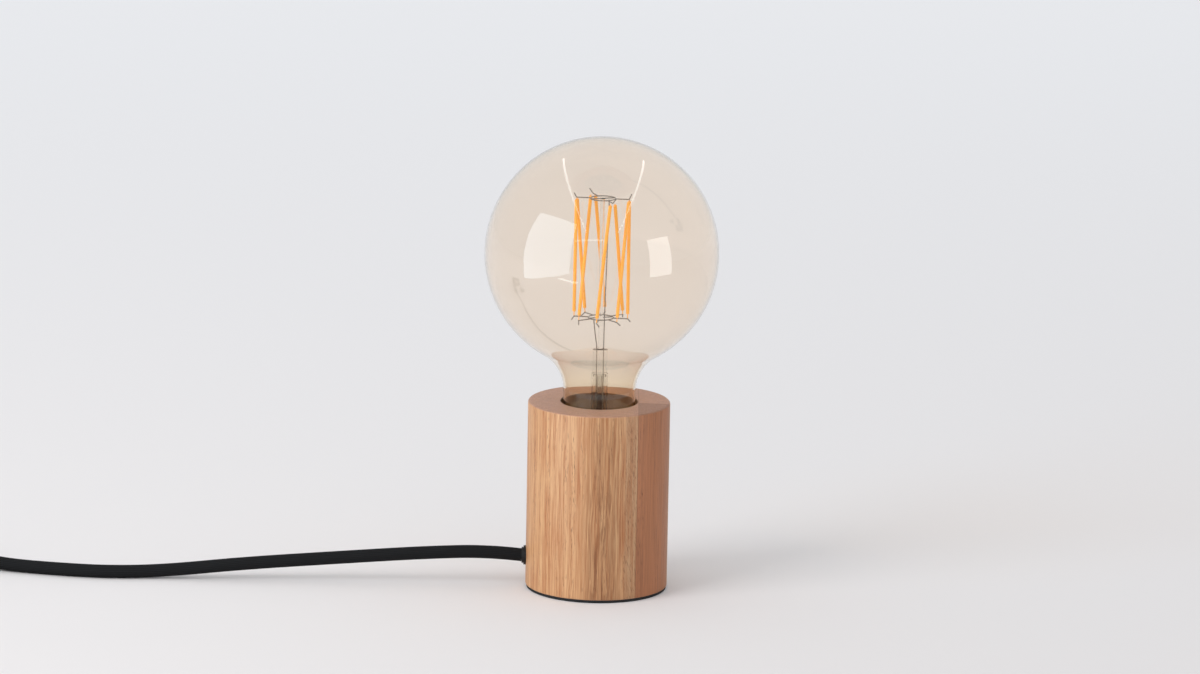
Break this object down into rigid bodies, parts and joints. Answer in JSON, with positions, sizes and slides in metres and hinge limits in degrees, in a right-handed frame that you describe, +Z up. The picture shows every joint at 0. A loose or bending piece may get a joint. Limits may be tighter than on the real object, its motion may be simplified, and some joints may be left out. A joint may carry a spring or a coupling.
{
  "type": "bare bulb table lamp",
  "caption": "Table lamp: a turned wooden cylinder with a sunk lampholder, a large clear globe bulb screwed into it, and a braided cord with an in-line rocker switch and a plug.",
  "frame": {"origin": "centre of the underside of the lamp, on the table", "axes": "+Z up along the lamp's axis; the cord leaves towards -X"},
  "size_m": [0.589, 0.125, 0.2449],
  "materials": {
    "oak": "oiled",
    "foot_rubber": "matt",
    "plate_steel": "satin",
    "screw_steel": "satin",
    "black_plastic": "matt",
    "nipple_steel": "satin",
    "white_insert": "matt",
    "contact_brass": "polished",
    "shell_metal": "satin",
    "amber_glass": "clear",
    "clear_glass": "clear",
    "spider_wire": "satin",
    "filament_coat": "silicone",
    "cap_metal": "satin",
    "cap_glass": "gloss",
    "tip_solder": "satin",
    "board_green": "matt",
    "board_parts": "gloss",
    "black_braid": "braided",
    "tie_fabric": "woven",
    "wire_brown": "satin",
    "wire_blue": "satin",
    "switch_plastic": "satin",
    "rocker_plastic": "satin",
    "plug_plastic": "satin",
    "pin_brass": "polished"
  },
  "bodies": {
    "root": {"wood_body": "oak", "foot_pad": "foot_rubber", "bottom_cover": "plate_steel", "cover_screws": "screw_steel", "stop_screw": "screw_steel", "switch_screws": "screw_steel", "clamp_screws": "screw_steel", "nipple_washer": "screw_steel", "nipple_nut": "screw_steel", "cord_bushing": "black_plastic", "bushing_nut": "black_plastic", "cord_stop": "black_plastic", "holder_dome": "black_plastic", "holder_skirt": "black_plastic", "nipple": "nipple_steel", "holder_insert": "white_insert", "centre_contact": "contact_brass", "side_contact": "contact_brass", "terminal_screws": "contact_brass", "switch_contacts": "contact_brass", "holder_shell": "shell_metal", "cord_lead": "black_braid", "cord_tail": "black_braid", "cord_coil": "black_braid", "cord_end": "black_braid", "cord_inner": "black_braid", "cord_tie": "tie_fabric", "wire_live": "wire_brown", "switch_live": "wire_brown", "wire_neutral": "wire_blue", "switch_neutral": "wire_blue", "switch_base": "switch_plastic", "switch_top": "switch_plastic", "clamp_bars": "switch_plastic", "plug_body": "plug_plastic", "plug_relief": "plug_plastic", "plug_sleeves": "plug_plastic", "plug_pins": "pin_brass"},
    "bulb_tip": {"cap_contact": "tip_solder"},
    "bulb": {"globe": "amber_glass", "stem": "clear_glass", "support_rod": "clear_glass", "lower_wire": "spider_wire", "upper_wire": "spider_wire", "upper_spider": "spider_wire", "lower_spider": "spider_wire", "filament_1": "filament_coat", "filament_2": "filament_coat", "filament_3": "filament_coat", "filament_4": "filament_coat", "filament_5": "filament_coat", "filament_6": "filament_coat", "filament_7": "filament_coat", "filament_8": "filament_coat", "cap_shell": "cap_metal", "cap_insulator": "cap_glass", "driver_board": "board_green", "driver_parts": "board_parts"},
    "rocker": {"switch_rocker": "rocker_plastic", "rocker_contact": "contact_brass"}
  },
  "joints": [
    {"name": "bulb_rise", "type": "slide", "parent": "root", "child": "bulb_tip", "axis": [0, 0, 1], "range_m": [0, 0.0109]},
    {"name": "bulb_turn", "type": "hinge", "parent": "bulb_tip", "child": "bulb", "pos_m": [0, 0, 0.0615], "axis": [0, 0, 1], "range_deg": [0, 1080]},
    {"name": "rocker_tilt", "type": "hinge", "parent": "root", "child": "rocker", "pos_m": [-0.3867, 0.0278, 0.0134], "axis": [-0.2588, -0.9659, 0], "range_deg": [-16, 0]}
  ],
  "couplings": [
    {"joint": "bulb_rise", "follows": "bulb_turn", "m_per_rad": 0.00057757}
  ]
}
